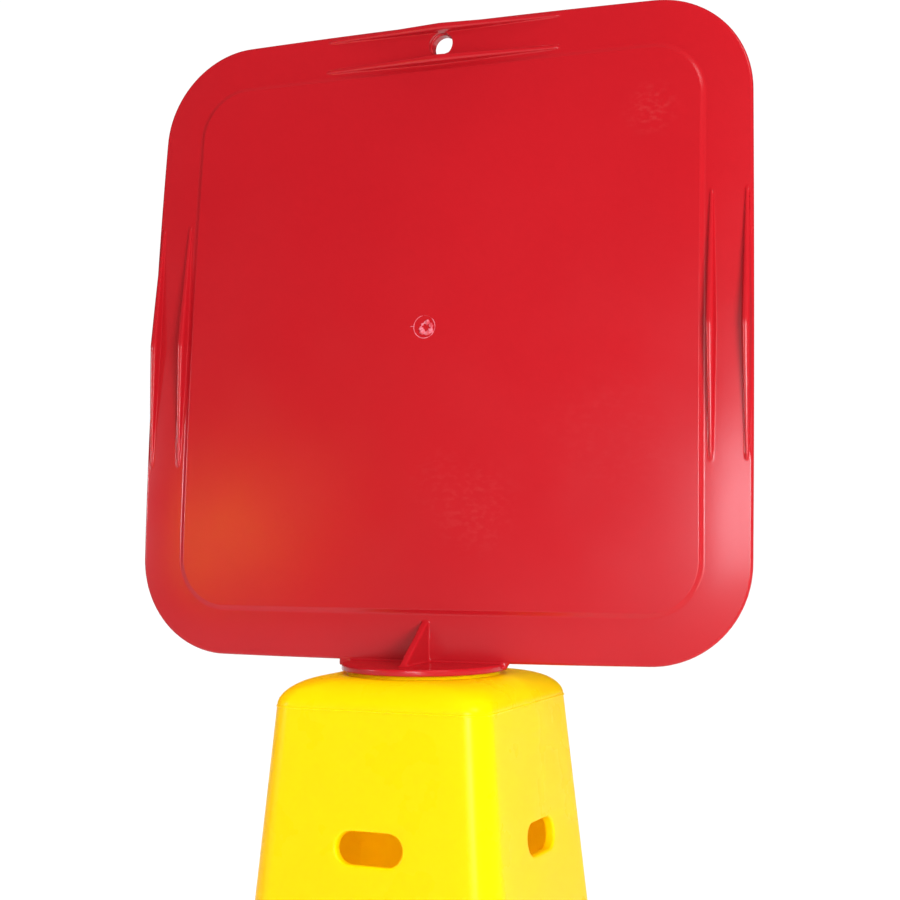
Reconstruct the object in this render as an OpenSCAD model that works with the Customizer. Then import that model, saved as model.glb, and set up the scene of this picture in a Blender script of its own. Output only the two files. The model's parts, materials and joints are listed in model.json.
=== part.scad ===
// Portable cone-top sign: a square sign panel that stands by a round flange on
// a four-sided hollow safety cone, turns on its stem, and is held by a hand nut
// under the cone's top. A ballast ring sits on the cone's base.
// Millimetres, +Z up. The origin is the centre of the footprint on the ground.
// The panel's back faces -Y and its sign face looks along +Y.

/* [Sign panel] */
// Width and height of the square panel
panel_w = 305; // [250:1:320]
// Corner radius of the panel
panel_r = 46.8; // [35:0.2:55]
// Thickness of the moulded wall
panel_t = 3.2; // [2.6:0.1:4]
// Width of the raised field on the back
field_w = 260.6; // [240:0.2:262]
// Corner radius of the raised field
field_r = 24.2; // [18:0.2:30]
// Height of the raised field above the border
field_rise = 3; // [2:0.1:4]
// Angle that the panel leans towards its sign face
panel_lean = 4.5; // [0:0.1:6]
// Height of the panel's lower edge above the cone's top
panel_lift = 3.6; // [3.5:0.1:6]
// Distance from the stem's axis forward to the panel's foot
panel_set = 4.4; // [0:0.1:8]
// Angle that the sign stands turned on the cone
sign_turn = 2; // [0:0.5:10]

/* [Border ribs] */
// Half-length of each stiffening rib
rib_half = 60; // [40:1:80]
// Radius of a rib's crest at its middle
rib_r = 1.8; // [1.4:0.1:2.2]
// Radius of a rib's crest at its ends
rib_end_r = 0.9; // [0.8:0.1:1.3]
// Height of a rib at its middle
rib_h = 4.4; // [2.4:0.1:5]
// Distance from the panel's centre to the inner ribs
rib_in = 134.2; // [132.8:0.1:135]
// Distance from the panel's centre to the outer ribs
rib_out = 149.9; // [146:0.1:150.3]

/* [Hanging hole] */
// Diameter of the hanging hole
hole_d = 11; // [8:0.5:12]
// Distance from the hole's centre to the panel's top edge
hole_drop = 10.2; // [9:0.1:10.8]
// Thickness through the boss round the hole
hole_boss_t = 5.6; // [4:0.2:7]

/* [Flange, stem and hand nut] */
// Radius of the round flange
flange_r = 38; // [36:0.5:44]
// Thickness of the flange
flange_t = 3; // [2.5:0.1:3.4]
// Height of the gussets above the cone's top
gusset_h = 22; // [16:0.5:30]
// Reach of the gussets from the stem's axis
gusset_reach = 25.5; // [18:0.5:33]
// Thickness of the gussets
gusset_t = 3.4; // [2.4:0.1:5]
// Radius of the stem where it turns in the cone
stem_r = 15; // [12:0.5:18]
// Length of the stem below the flange
stem_len = 50; // [46:1:60]
// Radius of the stem's threaded stretch
thread_r = 14; // [11:0.5:17]
// Radius of the hand nut's body
nut_r = 23; // [20:0.5:26]
// Height of the hand nut
nut_h = 13; // [10:0.5:16]

/* [Cone] */
// Height of the cone
cone_h = 914; // [700:1:920]
// Half-width of a cone side at the moulding line
shoulder_half = 52.5; // [50:0.1:56]
// Outward slope of each side, in millimetres per millimetre of height
side_slope = 0.09; // [0.07:0.001:0.1]
// Thickness of the cone's wall
wall = 3.5; // [2.5:0.1:4]
// Radius of the cone's vertical corners at the shoulder
corner_r = 11; // [8:0.5:14]
// Width that the rounded shoulder takes on each side
shoulder_run = 16; // [13:0.5:18]
// Drop of the moulding line below the cone's top
line_drop = 14; // [12:0.5:18]
// Width of the square base
base_w = 311; // [300:1:340]
// Corner radius of the base
base_r = 30; // [20:1:40]
// Height of the base's skirt
base_h = 16; // [14:1:24]

/* [Tape slots] */
// Length of a slot
slot_len = 32; // [28:1:42]
// Height of a slot
slot_h = 14.4; // [10:0.2:16]
// Height of the slots' centres above the ground
slot_z = 841.5; // [780:0.5:850]

/* [Ballast ring and feet] */
// Height of the ballast ring
ring_h = 38; // [30:1:50]
// Width of the ballast ring
ring_w = 300; // [290:1:306]
// Radius of a rubber foot
foot_r = 14; // [11:0.5:15]
// Height of a rubber foot's pad
foot_h = 6; // [5:0.5:8]

/* [Hidden] */
$fn = 64;

eps = 0.01;                                  // thickness of a hull's slices
over = 1;                                    // how far a cut runs past a face
running_gap = 0.08;                          // radial clearance of the turning fits
lift_gap = 0.3;                              // space between faces of different bodies

// Panel frame: x across, y along the leaning height, z from the sign face to the back
panel_mid = panel_lift + panel_w / 2;        // height of the panel's centre in its own plane
recess_inset = 3.4;                          // side wall left round the front recess
recess_w = field_w - 2 * recess_inset;
recess_r = field_r - recess_inset;
sheet_w = recess_w - 2;
sheet_r = recess_r - 1;
sheet_t = 0.8;

// Neck between panel and flange
neck_top_half = flange_r + 3.5;
neck_bottom_half = flange_r - 1;
gusset_top = 3;                              // half-depth of a gusset at its top

// Cone heights
foot_lift = 2.5;                             // the skirt hangs this far above the ground
skirt_wall = 4;
ledge_t = 4;
crown = 1.8;                                 // rise of the round seat above the shoulder
seat_r = flange_r - 3;
dome_top = cone_h - crown;
line_z = cone_h - line_drop;                 // height of the moulding line
bead = 0.7;                                  // how far the moulding line stands proud
collar_len = 14;                             // depth of the stem's bearing collar
collar_wall = 4;
slot_lip = 2.6;                              // width of the inturned lip round a slot
slot_depth = 6;                              // how far the lip reaches in from the face

// Hand nut and washer hang under the collar
collar_end = cone_h - collar_len;
washer_t = 2.5;
washer_r = 26;
thread_top = collar_end - lift_gap;
nut_top = thread_top - washer_t;
lobe_r = 5;
lobes = 6;

// Feet
foot_at = base_w / 2 - 22;
boss_r = 9;
stud_r = 4;
foot_boss_drop = base_h - ledge_t - foot_h;
ring_clear = 2;                              // gap between the ballast ring and the cone

// Half-width of a cone side at height z
function side_half(z) = shoulder_half + side_slope * (line_z - z);
// Corner radius of the cone at height z, growing towards the base
function side_corner(z) = corner_r + 0.022 * (line_z - z);
// Half-width and height of the shoulder's arc at angle a, height grown inwards by inset
function arc_half(a) = shoulder_half - shoulder_run * (1 - cos(a));
function arc_z(a, inset) = line_z + (dome_top - line_z - inset) * sin(a);

// Flat square with round corners
module rounded_square(w, r) {
    square([w - 2 * r, w], center = true);
    square([w, w - 2 * r], center = true);
    for (sx = [-1, 1], sy = [-1, 1]) {
        translate([sx * (w / 2 - r), sy * (w / 2 - r)]) circle(r);
    }
}

// Flat slot with round ends, as long as len over all
module slot_shape(len, h) {
    square([len - h, h], center = true);
    for (s = [-1, 1]) {
        translate([s * (len - h) / 2, 0]) circle(h / 2);
    }
}

// Thin slice of the cone, the child of its hulls
module slice(half, r, z) {
    translate([0, 0, z]) linear_extrude(eps) rounded_square(2 * half, r, $fn = 32);
}

// Places children in the leaning panel frame
module in_panel_frame() {
    translate([0, panel_set, cone_h]) rotate([90 - panel_lean, 0, 0]) children();
}

// Turns children with the sign
module turned_sign() {
    rotate([0, 0, sign_turn]) children();
}

// Half of a rib along +x: a tapered round crest that sinks into the surface, on a web
module half_rib() {
    crest_z = rib_h - rib_r;
    drop = atan((crest_z + rib_end_r) / rib_half);
    web_end = rib_half * crest_z / (crest_z + rib_end_r);
    translate([0, 0, crest_z]) rotate([0, 90 + drop, 0])
        cylinder(h = rib_half, r1 = rib_r, r2 = rib_end_r);
    rotate([90, 0, 0]) translate([0, 0, -rib_end_r]) linear_extrude(2 * rib_end_r) polygon([
        [0, -panel_t / 2],
        [0, crest_z],
        [web_end, 0],
        [web_end, -panel_t / 2]
    ]);
}

// One stiffening rib, highest at its middle
module rib() {
    half_rib();
    mirror([1, 0, 0]) half_rib();
}

// The pairs of ribs along the top and both sides of the back
module border_ribs() {
    for (a = [-90, 0, 90], d = [rib_in, rib_out]) {
        rotate([0, 0, a]) translate([0, d, 0]) rib();
    }
}

// Square plate with its raised field, front recess, ribs and hanging hole
module panel_plate() {
    hole_y = panel_w / 2 - hole_drop;
    translate([0, panel_mid, 0]) difference() {
        union() {
            translate([0, 0, -panel_t / 2]) linear_extrude(panel_t) rounded_square(panel_w, panel_r);
            translate([0, 0, -panel_t / 2])
                linear_extrude(panel_t + field_rise) rounded_square(field_w, field_r);
            translate([0, hole_y, panel_t / 2 - hole_boss_t]) cylinder(h = hole_boss_t, d = 2 * hole_d - 3);
            translate([0, 0, panel_t / 2]) border_ribs();
        }
        translate([0, 0, -panel_t / 2 - over])
            linear_extrude(over + field_rise) rounded_square(recess_w, recess_r);
        translate([0, hole_y, -hole_boss_t]) cylinder(h = 2 * hole_boss_t, d = hole_d);
    }
}

// Web that joins the panel's lower edge to the flange
module neck() {
    translate([0, 0, -panel_t / 2]) linear_extrude(panel_t) polygon([
        [-neck_bottom_half, 1],
        [neck_bottom_half, 1],
        [neck_top_half, panel_lift + 1],
        [-neck_top_half, panel_lift + 1]
    ]);
}

// Triangular web between the panel and the flange, on one side
module gusset(side) {
    translate([-gusset_t / 2, 0, cone_h]) rotate([90, 0, 90]) linear_extrude(gusset_t) polygon([
        [panel_set, flange_t / 2],
        [side * gusset_reach, flange_t / 2],
        [side * gusset_reach, flange_t],
        [panel_set + side * gusset_top, gusset_h],
        [panel_set, gusset_h]
    ]);
}

// Round flange with the hollow stem below it
module flange_and_stem() {
    translate([0, 0, cone_h - stem_len]) rotate_extrude() polygon([
        [thread_r - 3.5, 0],
        [thread_r - 1, 0],
        [thread_r, 1],
        [thread_r, stem_len - collar_len - lift_gap],
        [stem_r, stem_len - collar_len + 1],
        [stem_r, stem_len],
        [flange_r - 0.6, stem_len],
        [flange_r, stem_len + 0.6],
        [flange_r, stem_len + flange_t - 0.6],
        [flange_r - 0.6, stem_len + flange_t],
        [0, stem_len + flange_t],
        [0, stem_len],
        [thread_r - 3.5, stem_len]
    ]);
}

module sign_panel() {
    color([0.78, 0.09, 0.12]) turned_sign() union() {
        in_panel_frame() {
            panel_plate();
            neck();
        }
        gusset(-1);
        gusset(1);
        flange_and_stem();
    }
}

module sign_face_sheet() {
    color([0.93, 0.93, 0.9]) turned_sign() in_panel_frame()
        translate([0, panel_mid, field_rise - panel_t / 2 - sheet_t])
            linear_extrude(sheet_t) rounded_square(sheet_w, sheet_r);
}

module clamp_washer() {
    color([0.2, 0.2, 0.21]) translate([0, 0, nut_top]) difference() {
        cylinder(h = washer_t, r = washer_r);
        translate([0, 0, -over]) cylinder(h = washer_t + 2 * over, r = thread_r + running_gap);
    }
}

module lock_nut() {
    color([0.12, 0.12, 0.13]) translate([0, 0, nut_top - nut_h]) difference() {
        union() {
            cylinder(h = nut_h, r = nut_r - 2);
            for (i = [0 : lobes - 1]) {
                rotate([0, 0, i * 360 / lobes]) translate([nut_r - lobe_r + 2, 0, 0])
                    cylinder(h = nut_h, r = lobe_r);
            }
        }
        translate([0, 0, -over]) cylinder(h = nut_h + 2 * over, r = thread_r + running_gap);
    }
}

// Outer form of the cone above its base, grown inwards by inset
module cone_form(inset) {
    hull() {
        slice(side_half(base_h) - inset, side_corner(base_h) - inset / 2, base_h - inset);
        for (a = [0 : 15 : 90]) {
            slice(arc_half(a) - inset, corner_r - inset / 2, arc_z(a, inset));
        }
    }
}

// Square base: a ledge with a skirt, and bosses for the feet
module base() {
    difference() {
        translate([0, 0, foot_lift]) linear_extrude(base_h - foot_lift) rounded_square(base_w, base_r);
        translate([0, 0, -over]) linear_extrude(base_h - ledge_t + over)
            rounded_square(base_w - 2 * skirt_wall, base_r - skirt_wall);
    }
    for (sx = [-1, 1], sy = [-1, 1]) {
        translate([sx * foot_at, sy * foot_at, foot_h]) difference() {
            cylinder(h = foot_boss_drop + over, r = boss_r);
            translate([0, 0, -over]) cylinder(h = foot_boss_drop + over, r = stud_r + running_gap);
        }
    }
}

// Places children at each tape slot, x along the slot and z out of the face
module at_slots() {
    for (a = [0 : 90 : 270]) {
        rotate([0, 0, a]) translate([0, -side_half(slot_z), slot_z])
            rotate([90 - atan(side_slope), 0, 0]) children();
    }
}

module cone_shell() {
    color([0.98, 0.85, 0.05]) difference() {
        union() {
            difference() {
                union() {
                    cone_form(0);
                    base();
                    translate([0, 0, line_z - bead / 2]) linear_extrude(bead)
                        rounded_square(2 * (shoulder_half + bead / 2), corner_r);
                }
                cone_form(wall);
                translate([0, 0, -over]) linear_extrude(base_h + over)
                    rounded_square(2 * (side_half(base_h) - wall), side_corner(base_h) - wall / 2);
            }
            at_slots() translate([0, 0, -slot_depth]) linear_extrude(slot_depth - 0.5)
                slot_shape(slot_len + 2 * slot_lip, slot_h + 2 * slot_lip);
            translate([0, 0, collar_end]) cylinder(h = collar_len - crown, r = stem_r + collar_wall);
            translate([0, 0, dome_top - 1]) cylinder(h = crown + 1 - lift_gap, r = seat_r);
        }
        at_slots() translate([0, 0, -2 * slot_depth]) linear_extrude(3 * slot_depth)
            slot_shape(slot_len, slot_h);
        translate([0, 0, collar_end - over]) cylinder(h = collar_len + 2 * over, r = stem_r + running_gap);
    }
}

module ballast_ring() {
    inner_half = side_half(base_h) + ring_clear;
    chamfer = 3;
    color([0.1, 0.1, 0.11]) translate([0, 0, base_h + lift_gap]) difference() {
        union() {
            linear_extrude(ring_h - chamfer) rounded_square(ring_w, base_r);
            linear_extrude(ring_h) rounded_square(ring_w - 2 * chamfer, base_r - chamfer);
        }
        translate([0, 0, -over]) linear_extrude(ring_h + 2 * over)
            rounded_square(2 * inner_half, side_corner(base_h) + ring_clear / 2);
    }
}

// Rubber pad with the stud that is pushed into the base's boss
module foot(sx, sy) {
    color([0.08, 0.08, 0.08]) translate([sx * foot_at, sy * foot_at, 0]) {
        cylinder(h = foot_h, r = foot_r);
        translate([0, 0, foot_h - over]) cylinder(h = foot_boss_drop - 1, r = stud_r);
    }
}

sign_panel();
sign_face_sheet();
clamp_washer();
lock_nut();
cone_shell();
ballast_ring();
foot(-1, -1);  // foot_front_left
foot(1, -1);  // foot_front_right
foot(-1, 1);  // foot_rear_left
foot(1, 1);  // foot_rear_right
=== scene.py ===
"""The looks of a portable cone-top sign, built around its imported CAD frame. Metres, +Z up."""
import json
import math

import bmesh
import bpy
from mathutils import Matrix, Vector, noise


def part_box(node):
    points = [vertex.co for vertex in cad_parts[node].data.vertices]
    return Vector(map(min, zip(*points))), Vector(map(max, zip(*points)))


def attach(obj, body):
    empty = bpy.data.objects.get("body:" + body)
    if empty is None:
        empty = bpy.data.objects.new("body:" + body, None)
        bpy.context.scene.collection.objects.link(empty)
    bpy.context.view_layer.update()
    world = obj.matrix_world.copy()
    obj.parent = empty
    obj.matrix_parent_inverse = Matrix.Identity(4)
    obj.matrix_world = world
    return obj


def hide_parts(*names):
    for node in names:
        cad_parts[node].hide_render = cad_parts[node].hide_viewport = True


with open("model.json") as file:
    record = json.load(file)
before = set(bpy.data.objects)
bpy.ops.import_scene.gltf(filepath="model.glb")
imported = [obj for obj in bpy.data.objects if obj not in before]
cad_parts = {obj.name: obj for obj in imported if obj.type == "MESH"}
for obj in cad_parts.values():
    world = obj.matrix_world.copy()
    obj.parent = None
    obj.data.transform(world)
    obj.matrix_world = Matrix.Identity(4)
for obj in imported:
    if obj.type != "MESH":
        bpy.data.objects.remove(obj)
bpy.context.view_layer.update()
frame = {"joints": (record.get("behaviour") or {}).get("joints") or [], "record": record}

MM = 0.001

# ---------------------------------------------------------------- sizes, in millimetres

# Sign panel. Its own frame: x across, y up the leaning panel from its centre, z out of the back.
PANEL_HALF = 152.5
PANEL_R = 46.8
PANEL_T = 3.2
RIM_R = 1.1                     # rounding of the panel's edge
EDGE_BOW, BOW_REACH = 0.7, 30   # how far each edge bows out at its middle, and how far in
BORDER_DISH = 0.8               # how far the border falls towards its rim
CROWN_X, CROWN_Y = 2.0, 3.6     # height of the panel's crown across and up
TWIST = 3.1                     # how far the corners are out of flat
FIELD_INSET = 22.2              # from the rim to the edge of the raised field
FIELD_STEP = 0.9
FIELD_RAMP = 2.6                # width of the step's slope
RECESS_INSET = 25.6             # from the rim to the edge of the front recess
RECESS_DEPTH = 1.2
RECESS_RAMP = 0.5
HOLE_Y, HOLE_R = 142.3, 5.5
HOLE_BOSS_R, HOLE_BOSS_T = 9.5, 5.6

# Scar of the moulding gate: the middle of its outer ring and of its inner one
GATE, GATE_INNER = (-2.8, 3.5), (-1.8, 3.0)

# Stiffening ribs on three borders
RIB_INSETS = (2.6, 18.3)
RIB_HALF = 60.0
RIB_R, RIB_END_R = 1.8, 0.9
RIB_H, RIB_END_H = 4.4, 0.5
RIB_CREST = 2.5                 # above 2, the crest is flatter than a circle
RIB_BAND = 3.4                  # half-width of the mesh that bends round a rib
RIB_FOOT = 0.8                  # width of the fillet at a rib's foot
RIB_WALL = 0.4                  # share of that width in which the rib's wall comes down
RIB_FILLET = 0.35               # height of the fillet

# Sheet in the front recess
SHEET_INSET = 26.6
SHEET_T = 0.8
SHEET_GAP = 0.02

# How finely the plate and the sheet are meshed: along a side, round a corner, in to the centre
SIDE_STEPS, CORNER_STEPS, CORE_STEPS = 160, 24, 22

# Flange, gussets, neck and stem
FLANGE_R, FLANGE_T = 38.0, 3.0
GUSSET_H, GUSSET_REACH, GUSSET_T = 22.0, 25.5, 3.4
GUSSET_TOP = 3.0
STEM_R, STEM_LEN, THREAD_R = 15.0, 50.0, 14.0
THREAD_PITCH, THREAD_DEPTH, THREAD_GAP = 4.0, 0.9, 0.08
STEM_WALL = 3.5
NECK_LEFT, NECK_TOP, NECK_FOOT = 44.0, 42.4, 39.2

# Cone
LINE_DROP = 14.0                # the moulding line below the cone's top
SHOULDER_HALF = 52.5
SHOULDER_RUN = 16.0
SHOULDER_ROUND = 12.0           # how much rounder the corners are at the top of the shoulder
SIDE_SLOPE = 0.09
CONE_WALL = 3.5
CORNER_R, CORNER_GROWTH = 11.0, 0.022
SEAT_R, SEAT_RISE, LIFT_GAP = 35.0, 1.8, 0.3
BEAD = 0.42                     # how far the moulding line stands proud
BORE_R, COLLAR_R, COLLAR_LEN = 15.08, 19.0, 14.0
BASE_HALF, BASE_R, BASE_H = 155.5, 30.0, 16.0
SKIRT_WALL, LEDGE_T, FOOT_LIFT = 4.0, 4.0, 2.5
SLOT_LEN, SLOT_H, SLOT_Z = 32.0, 14.4, 841.5
SLOT_ROUND, SLOT_LIP, SLOT_DEPTH = 1.1, 2.6, 4.6

# Feet and the tubes that hold their studs
FEET = ("foot_front_left", "foot_front_right", "foot_rear_left", "foot_rear_right")
FOOT_TOP = 6.0
BOSS_R, STUD_BORE, STUD_R = 9.0, 4.08, 4.0

# Ballast ring
BALLAST_HALF = 150.0

# Hand nut
NUT_WAIST, NUT_LOBE, NUT_LOBES = 21.2, 3.8, 6

# Camera: place in metres, turn and tilts in degrees
CAMERA_PLACE = (0.3464, -0.7455, 0.9912)
CAMERA_LENS, CAMERA_SHIFT = 70.69, -0.03
CAMERA_YAW, CAMERA_PITCH, CAMERA_ROLL = 24.04, 2.55, 0.27

# Brightness of the studio's walls and of its overhead light
ROOM_DIM, ROOM_OVERHEAD = 0.09, 0.2

# ---------------------------------------------------------------- the frame's places


def named(items, name):
    """The item of a list that has a name."""
    return next(item for item in items if item["name"] == name)


HOLE = named(frame["record"]["mounts"], "hanging_hole")
CONE_TOP = named(frame["joints"], "sign_swivel")["pos_m"][2] / MM
LINE_Z = CONE_TOP - LINE_DROP


def panel_matrix():
    """The panel's frame in the CAD frame, found from the hanging hole."""
    out = Vector(HOLE["axis"])
    across = Vector((0, 0, 1)).cross(out).normalized()
    up = out.cross(across)
    hole_mid = PANEL_T / 2 - HOLE_BOSS_T / 2
    centre = Vector(HOLE["pos_m"]) / MM - up * HOLE_Y - out * hole_mid
    matrix = Matrix((across, up, out)).transposed().to_4x4()
    matrix.translation = centre
    return matrix


PANEL = panel_matrix()
# The sign stands a little turned on the cone
SIGN_TURN = Matrix.Rotation(math.atan2(PANEL[1][0], PANEL[0][0]), 4, "Z")
HOLE_PLACE = PANEL @ Matrix.Translation((0, HOLE_Y, 0))
PANEL_FOOT = -PANEL_HALF
PANEL_FOOT_Y = (SIGN_TURN.inverted() @ PANEL @ Vector((0, PANEL_FOOT, 0))).y


def turned(angle, axis):
    """A rotation by an angle in degrees."""
    return Matrix.Rotation(math.radians(angle), 4, axis)


def smooth(value, low, high):
    """Soft step from 0 at low to 1 at high."""
    t = min(1.0, max(0.0, (value - low) / (high - low)))
    return t * t * (3 - 2 * t)


# ---------------------------------------------------------------- camera and studio


def make_camera():
    """The view from behind the sign, low and to its right."""
    data = bpy.data.cameras.new("view")
    data.lens = CAMERA_LENS
    data.shift_y = CAMERA_SHIFT
    data.clip_start = 0.05
    camera = bpy.data.objects.new("view", data)
    place = Matrix.Translation(CAMERA_PLACE)
    for angle, axis in ((CAMERA_YAW, "Z"), (CAMERA_PITCH, "X"), (CAMERA_ROLL, "Y"), (90, "X")):
        place = place @ turned(angle, axis)
    camera.matrix_world = place
    bpy.context.scene.view_settings.view_transform = "Standard"
    bpy.context.scene.collection.objects.link(camera)
    bpy.context.scene.camera = camera
    return camera


def mirrored(camera, x, y, distance):
    """A point (x, y) of the panel's back, and the place whose reflection the camera sees there."""
    step = 0.3

    def height(px, py):
        return back_height(px, py, PANEL_HALF - max(abs(px), abs(py)))

    along_x = (height(x + step, y) - height(x - step, y)) / (2 * step)
    along_y = (height(x, y + step) - height(x, y - step)) / (2 * step)
    normal = (PANEL.to_3x3() @ Vector((-along_x, -along_y, 1))).normalized()
    spot = (PANEL @ Vector((x, y, height(x, y)))) * MM
    ray = (spot - camera.matrix_world.translation).normalized()
    return spot, spot + (ray - 2 * ray.dot(normal) * normal) * distance


def seen_from(spot, left, up, distance):
    """A place behind the sign, at angles to the left of straight behind a spot and above it."""
    return spot + turned(-left, "Z") @ turned(-up, "X") @ Vector((0, -distance, 0))


def area_light(name, place, target, size, power, colour, mirrored_too=True, diffuse_too=True):
    """A rectangular lamp in watts. It can be kept out of reflections, or show only in them."""
    data = bpy.data.lights.new(name, "AREA")
    data.shape = "RECTANGLE"
    data.size, data.size_y = size
    data.energy = power
    data.color = colour
    light = bpy.data.objects.new(name, data)
    light.location = place
    light.rotation_euler = (Vector(target) - Vector(place)).to_track_quat("-Z", "Y").to_euler()
    light.visible_glossy = mirrored_too
    light.visible_diffuse = diffuse_too
    bpy.context.scene.collection.objects.link(light)


def sun(name, direction, strength, angle, mirrored_too=True):
    """Parallel light along a direction, as wide as an angle in degrees."""
    data = bpy.data.lights.new(name, "SUN")
    data.energy = strength
    data.angle = math.radians(angle)
    light = bpy.data.objects.new(name, data)
    light.rotation_euler = Vector(direction).to_track_quat("-Z", "Y").to_euler()
    light.visible_glossy = mirrored_too
    bpy.context.scene.collection.objects.link(light)


def make_world():
    """White to the eye. As light, a soft source overhead in a dim room."""
    world = bpy.data.worlds.new("studio")
    bpy.context.scene.world = world
    world.use_nodes = True
    tree = world.node_tree
    tree.nodes.clear()
    seen = tree.nodes.new("ShaderNodeBackground")
    seen.inputs["Strength"].default_value = 1.05
    seen.inputs["Color"].default_value = (1, 1, 1, 1)
    room = tree.nodes.new("ShaderNodeBackground")
    room.inputs["Color"].default_value = (0.97, 0.98, 1, 1)
    height = tree.nodes.new("ShaderNodeSeparateXYZ")
    tree.links.new(tree.nodes.new("ShaderNodeTexCoord").outputs["Generated"], height.inputs[0])
    overhead = tree.nodes.new("ShaderNodeMapRange")
    overhead.interpolation_type = "SMOOTHSTEP"
    low, high = 0.45, 0.9
    for socket, number in zip(overhead.inputs[1:5], (low, high, ROOM_DIM, ROOM_OVERHEAD)):
        socket.default_value = number
    tree.links.new(height.outputs["Z"], overhead.inputs["Value"])
    tree.links.new(overhead.outputs["Result"], room.inputs["Strength"])
    path = tree.nodes.new("ShaderNodeLightPath")
    mix = tree.nodes.new("ShaderNodeMixShader")
    out = tree.nodes.new("ShaderNodeOutputWorld")
    tree.links.new(path.outputs["Is Camera Ray"], mix.inputs["Fac"])
    tree.links.new(room.outputs[0], mix.inputs[1])
    tree.links.new(seen.outputs[0], mix.inputs[2])
    tree.links.new(mix.outputs[0], out.inputs["Surface"])


def make_floor():
    """A wide pale floor."""
    half_size, steps = 60.0, 8
    shade, pale = (0.9, 0.9, 0.9), (0.93, 0.93, 0.93)
    mesh = bpy.data.meshes.new("floor")
    bm = bmesh.new()
    bmesh.ops.create_grid(bm, x_segments=steps, y_segments=steps, size=half_size)
    bm.to_mesh(mesh)
    bm.free()
    floor = bpy.data.objects.new("floor", mesh)
    bpy.context.scene.collection.objects.link(floor)
    paint = Paint("floor_paint", shade, 0.7)
    paint.colour(paint.mix(paint.noise(1.5, 3), shade, pale))
    paint.clear_from_below()
    mesh.materials.append(paint.material)


def make_lights(camera):
    """Soft light from all sides, and lamps that the camera sees mirrored in the sign and the cone."""
    cool, away = (1, 0.93, 1), 2.0
    sun("key", (-0.6, 0.55, -0.72), 0.8, 24)
    sun("left_fill", (0.8, 0.5, -0.35), 0.38, 30, False)
    sun("top", (0.05, 0.05, -1), 1.75, 20, False)
    sun("back_fill", (0.4, -0.65, -0.6), 1.9, 30, False)
    area_light("side_box", (0.9, -0.66, 1.12), (0, 0, 1.0), (0.45, 0.45), 15.0, (1, 1, 1), False)
    border, glow = mirrored(camera, 143, -82, away)
    area_light("glow", glow, border, (0.2, 0.18), 4.6, (1, 0.9, 1))
    corner, warm = mirrored(camera, -114, -96, away)
    area_light("warm", warm, corner, (0.24, 0.18), 1.5, (1, 0.6, 0.05))
    rib = PANEL @ Vector((140, -30, 0)) * MM
    strip = seen_from(rib, -8, 3, away)
    area_light("right_rib_strip", strip, rib, (0.04, 0.12), 11.0, cool, diffuse_too=False)
    rib = PANEL @ Vector((-140, -30, 0)) * MM
    strip = seen_from(rib, 50, 5.5, away)
    area_light("left_rib_strip", strip, rib, (0.04, 0.16), 9.0, cool, diffuse_too=False)
    edge = Vector((SHOULDER_HALF, -SHOULDER_HALF, SLOT_Z)) * MM
    area_light("cone_strip", seen_from(edge, -17, 4, 2.2), edge, (0.06, 1.1), 7.0, (1, 1, 0.95))


# ---------------------------------------------------------------- materials


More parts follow.
